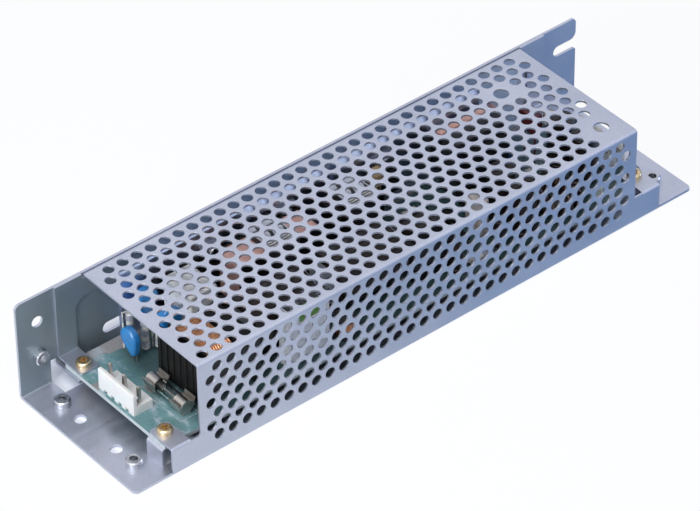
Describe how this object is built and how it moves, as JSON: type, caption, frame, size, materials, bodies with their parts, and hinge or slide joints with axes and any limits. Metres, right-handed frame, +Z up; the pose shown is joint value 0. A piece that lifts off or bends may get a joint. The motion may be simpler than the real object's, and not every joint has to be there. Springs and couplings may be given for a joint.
{
  "type": "mesh case switching power supply",
  "caption": "Open-ended switching power supply: circuit board under a folded perforated steel cover on an L-shaped chassis with mounting ears.",
  "frame": {"origin": "middle of the underside of the case", "axes": "+X along the case to the output end, +Y to the rear wall, +Z up"},
  "size_m": [0.252, 0.0644, 0.041],
  "materials": {
    "steel": "satin zinc plated",
    "board": "satin solder mask",
    "screw": "yellow zinc",
    "nut": "bright zinc",
    "white": "moulded nylon",
    "tin": "tinned",
    "clear_glass": "clear",
    "blue_coat": "dipped epoxy",
    "ferrite": "sintered ferrite",
    "black": "moulded",
    "copper": "enamelled copper wire",
    "pink_tape": "polyester tape",
    "box_white": "moulded box",
    "film_box": "moulded box with a dark potted top",
    "can": "drawn can",
    "sleeve": "shrink sleeve",
    "plate": "sheared plate",
    "tan_coat": "dipped",
    "maroon": "dipped epoxy",
    "dark_wire": "enamelled wire",
    "ceramic": "ceramic",
    "resistor_coat": "lacquer",
    "lens": "milky epoxy",
    "trimmer_blue": "moulded"
  },
  "bodies": {
    "housing": {"bridge_rectifier": "black", "bulk_capacitor_cans": "can", "bulk_capacitor_sleeves": "sleeve", "ceramic_resistor": "ceramic", "chassis": "steel", "circuit_board": "board", "circuit_bodies": "black", "circuit_legs": "tin", "clinch_nuts": "nut", "coupling_capacitor": "tan_coat", "cover": "steel", "cover_screws": "screw", "disc_capacitors": "blue_coat", "driver_transformer_bobbin": "black", "driver_transformer_coil": "sleeve", "driver_transformer_core": "ferrite", "film_capacitor": "film_box", "fuse_caps": "tin", "fuse_clips": "tin", "fuse_tube": "clear_glass", "fuse_wire": "tin", "heatsinks": "plate", "input_header": "white", "input_header_pins": "tin", "lamp": "lens", "line_capacitor": "box_white", "line_choke_bobbin": "black", "line_choke_coil": "copper", "line_choke_core": "ferrite", "main_transformer_bobbin": "black", "main_transformer_coil": "pink_tape", "main_transformer_core": "ferrite", "output_capacitors": "sleeve", "output_choke_core": "ferrite", "output_choke_turns": "dark_wire", "output_film_capacitor": "maroon", "output_header": "white", "output_header_pins": "tin", "pfc_choke_bobbin": "black", "pfc_choke_coil": "pink_tape", "pfc_choke_core": "ferrite", "resistors": "resistor_coat", "small_capacitors": "sleeve", "small_choke_coil": "copper", "small_choke_drum": "ferrite", "transistor_bodies": "black", "transistor_screws": "nut", "transistor_tabs": "tin", "trimmer_body": "trimmer_blue"},
    "trimmer": {"trimmer_rotor": "white"}
  },
  "joints": [
    {"name": "trimmer_turn", "type": "hinge", "parent": "housing", "child": "trimmer", "pos_m": [0.0755, 0.0146, 0.016], "axis": [0, 0, 1], "range_deg": [-130, 130]}
  ]
}
